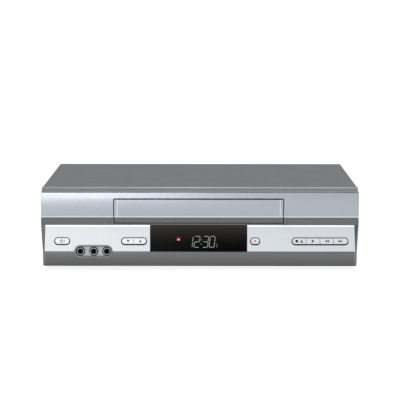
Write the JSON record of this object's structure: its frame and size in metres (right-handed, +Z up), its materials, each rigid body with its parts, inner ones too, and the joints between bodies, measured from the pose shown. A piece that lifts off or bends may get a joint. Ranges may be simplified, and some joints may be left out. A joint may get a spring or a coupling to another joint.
{
  "type": "video cassette recorder",
  "caption": "Slim front-loading video cassette recorder with a flap door, silver front, display window, front keys and sockets, and a tape deck inside.",
  "frame": {"origin": "centre of the base of the whole box, on the surface the feet stand on", "axes": "+X to the right seen from the front, +Y to the back, +Z up; the front faces -Y"},
  "size_m": [0.36, 0.225, 0.094],
  "materials": {
    "cover_paint": "satin textured paint",
    "grey_plastic": "satin moulded plastic",
    "silver_band": "metallic silver paint on plastic",
    "silver_plate": "pale metallic silver",
    "key_silver": "metallic silver",
    "display_smoke": "smoked acrylic",
    "display_glass": "glass",
    "recess_silver": "metallic silver",
    "black_plastic": "moulded plastic",
    "plated_steel": "zinc plated",
    "chrome_metal": "nickel plated",
    "drum_metal": "machined and polished",
    "rubber_black": "matt",
    "sleeve_brass": "sintered",
    "cream_plastic": "acetal",
    "white_plastic": "acetal",
    "board_green": "laminate",
    "chassis_steel": "galvanised",
    "ferrite": "ferrite and tape",
    "capacitor_sleeve": "shrink sleeve",
    "sink_aluminium": "extruded"
  },
  "bodies": {
    "root": {"front_panel": "grey_plastic", "upper_fascia": "silver_band", "left_control_plate": "silver_plate", "right_control_plate": "silver_plate", "display_window": "display_smoke", "top_cover": "cover_paint", "cover_screws": "plated_steel", "bottom_chassis": "chassis_steel", "feet": "rubber_black", "rear_panel": "chassis_steel", "key_switches": "black_plastic", "operation_board": "board_green", "display_tube": "display_glass", "jack_recess": "recess_silver", "front_jack_block": "black_plastic", "front_jack_shells": "chrome_metal", "door_spring": "plated_steel", "left_loader_bracket": "plated_steel", "right_loader_bracket": "plated_steel", "deck_plate": "plated_steel", "lower_drum": "drum_metal", "capstan_housing": "sleeve_brass", "reel_belt": "rubber_black", "audio_head": "chrome_metal", "erase_head": "chrome_metal", "loading_motor": "plated_steel", "main_board": "board_green", "power_transformer": "ferrite", "filter_capacitors": "capacitor_sleeve", "heat_sink": "sink_aluminium", "tuner": "plated_steel", "rear_jack_block": "black_plastic", "rear_jack_shells": "chrome_metal", "cord_gland": "rubber_black"},
    "door": {"cassette_door": "grey_plastic", "door_fascia": "silver_band"},
    "power_key": {"power_button": "key_silver"},
    "channel_key": {"channel_rocker": "key_silver"},
    "record_key": {"record_button": "key_silver"},
    "stop_eject_key": {"stop_eject_button": "key_silver"},
    "play_key": {"play_button": "key_silver"},
    "rewind_key": {"rewind_button": "key_silver"},
    "fast_forward_key": {"fast_forward_button": "key_silver"},
    "carriage": {"loader_carriage": "plated_steel"},
    "holder": {"cassette_holder": "plated_steel"},
    "loader_drive": {"loader_pinion": "white_plastic"},
    "drum": {"upper_drum": "drum_metal"},
    "capstan": {"capstan_flywheel": "plated_steel"},
    "reel_drive": {"centre_pulley": "black_plastic"},
    "idler_lever": {"idler_arm": "plated_steel"},
    "idler": {"idler_wheel": "rubber_black"},
    "supply_turntable": {"supply_reel": "cream_plastic"},
    "takeup_turntable": {"takeup_reel": "cream_plastic"},
    "supply_post": {"supply_guide": "chrome_metal"},
    "takeup_post": {"takeup_guide": "chrome_metal"},
    "pinch_lever": {"pinch_arm": "plated_steel"},
    "pinch": {"pinch_roller": "rubber_black"},
    "tension_lever": {"tension_arm": "plated_steel"},
    "mode_cam": {"cam_gear": "white_plastic"},
    "mode_motor": {"motor_pinion": "white_plastic"}
  },
  "joints": [
    {"name": "door_swing", "type": "hinge", "parent": "root", "child": "door", "pos_m": [-0.0013, -0.1075, 0.0855], "axis": [1, 0, 0], "range_deg": [0, 90], "stiffness_Nm_per_rad": 0.012, "springref_deg": -14.32},
    {"name": "power_press", "type": "slide", "parent": "root", "child": "power_key", "axis": [0, 0.9932, -0.1166], "range_m": [0, 0.0005], "stiffness_N_per_m": 400},
    {"name": "record_press", "type": "slide", "parent": "root", "child": "record_key", "axis": [0, 0.9932, -0.1166], "range_m": [0, 0.0005], "stiffness_N_per_m": 400},
    {"name": "stop_eject_press", "type": "slide", "parent": "root", "child": "stop_eject_key", "axis": [0, 0.9932, -0.1166], "range_m": [0, 0.0005], "stiffness_N_per_m": 400},
    {"name": "play_press", "type": "slide", "parent": "root", "child": "play_key", "axis": [0, 0.9932, -0.1166], "range_m": [0, 0.0005], "stiffness_N_per_m": 400},
    {"name": "rewind_press", "type": "slide", "parent": "root", "child": "rewind_key", "axis": [0, 0.9932, -0.1166], "range_m": [0, 0.0005], "stiffness_N_per_m": 400},
    {"name": "fast_forward_press", "type": "slide", "parent": "root", "child": "fast_forward_key", "axis": [0, 0.9932, -0.1166], "range_m": [0, 0.0005], "stiffness_N_per_m": 400},
    {"name": "channel_rock", "type": "hinge", "parent": "root", "child": "channel_key", "pos_m": [-0.0745, -0.10525, 0.03357], "axis": [0, 0.1166, 0.9932], "range_deg": [-2.5, 2.5], "stiffness_Nm_per_rad": 0.05},
    {"name": "carriage_slide", "type": "slide", "parent": "root", "child": "carriage", "axis": [0, 1, 0], "range_m": [0, 0.046]},
    {"name": "holder_drop", "type": "slide", "parent": "carriage", "child": "holder", "axis": [0, 0, -1], "range_m": [0, 0.0215]},
    {"name": "loader_pinion_spin", "type": "hinge", "parent": "root", "child": "loader_drive", "pos_m": [0.0967, -0.0239, 0.034], "axis": [1, 0, 0], "range_deg": [-380, 5]},
    {"name": "drum_spin", "type": "hinge", "parent": "root", "child": "drum", "pos_m": [-0.0053, 0.0575, 0.0295], "axis": [0, 0.1045, 0.9945], "continuous": true},
    {"name": "capstan_spin", "type": "hinge", "parent": "root", "child": "capstan", "pos_m": [0.0567, 0.0235, 0.02], "axis": [0, 0, 1], "continuous": true},
    {"name": "pulley_spin", "type": "hinge", "parent": "root", "child": "reel_drive", "pos_m": [-0.0013, -0.0165, 0.02], "axis": [0, 0, 1], "continuous": true},
    {"name": "idler_swing", "type": "hinge", "parent": "root", "child": "idler_lever", "pos_m": [-0.0013, -0.0165, 0.027], "axis": [0, 0, 1], "range_deg": [-28.5, 28.5]},
    {"name": "idler_spin", "type": "hinge", "parent": "idler_lever", "child": "idler", "pos_m": [-0.0013, -0.0348, 0.029], "axis": [0, 0, 1], "continuous": true},
    {"name": "supply_spin", "type": "hinge", "parent": "root", "child": "supply_turntable", "pos_m": [-0.0473, -0.0345, 0.03], "axis": [0, 0, 1], "continuous": true},
    {"name": "takeup_spin", "type": "hinge", "parent": "root", "child": "takeup_turntable", "pos_m": [0.0447, -0.0345, 0.03], "axis": [0, 0, 1], "continuous": true},
    {"name": "cam_turn", "type": "hinge", "parent": "root", "child": "mode_cam", "pos_m": [-0.0793, 0.0525, 0.028], "axis": [0, 0, 1], "range_deg": [0, 180]},
    {"name": "motor_spin", "type": "hinge", "parent": "root", "child": "mode_motor", "pos_m": [-0.0793, 0.0775, 0.028], "axis": [0, 0, 1], "range_deg": [-725, 5]},
    {"name": "supply_threading", "type": "slide", "parent": "root", "child": "supply_post", "axis": [-0.3539, 0.9353, 0], "range_m": [-0.001, 0.04056]},
    {"name": "takeup_threading", "type": "slide", "parent": "root", "child": "takeup_post", "axis": [0.3539, 0.9353, 0], "range_m": [-0.001, 0.04056]},
    {"name": "pinch_swing", "type": "hinge", "parent": "root", "child": "pinch_lever", "pos_m": [0.0787, 0.0295, 0.027], "axis": [0, 0, 1], "range_deg": [-1, 36]},
    {"name": "pinch_spin", "type": "hinge", "parent": "pinch_lever", "child": "pinch", "pos_m": [0.06569, 0.04194, 0.042], "axis": [0, 0, 1], "continuous": true},
    {"name": "tension_swing", "type": "hinge", "parent": "root", "child": "tension_lever", "pos_m": [-0.0793, 0.0155, 0.027], "axis": [0, 0, 1], "range_deg": [-1, 56]}
  ],
  "couplings": [
    {"joint": "loader_pinion_spin", "follows": "carriage_slide", "rad_per_m": -142.86},
    {"joint": "pulley_spin", "follows": "capstan_spin", "ratio": 0.66667},
    {"joint": "motor_spin", "follows": "cam_turn", "ratio": -4},
    {"joint": "supply_threading", "follows": "cam_turn", "m_per_rad": 0.012592},
    {"joint": "takeup_threading", "follows": "cam_turn", "m_per_rad": 0.012592},
    {"joint": "pinch_swing", "follows": "cam_turn", "ratio": 0.19444},
    {"joint": "tension_swing", "follows": "cam_turn", "ratio": 0.30556}
  ]
}
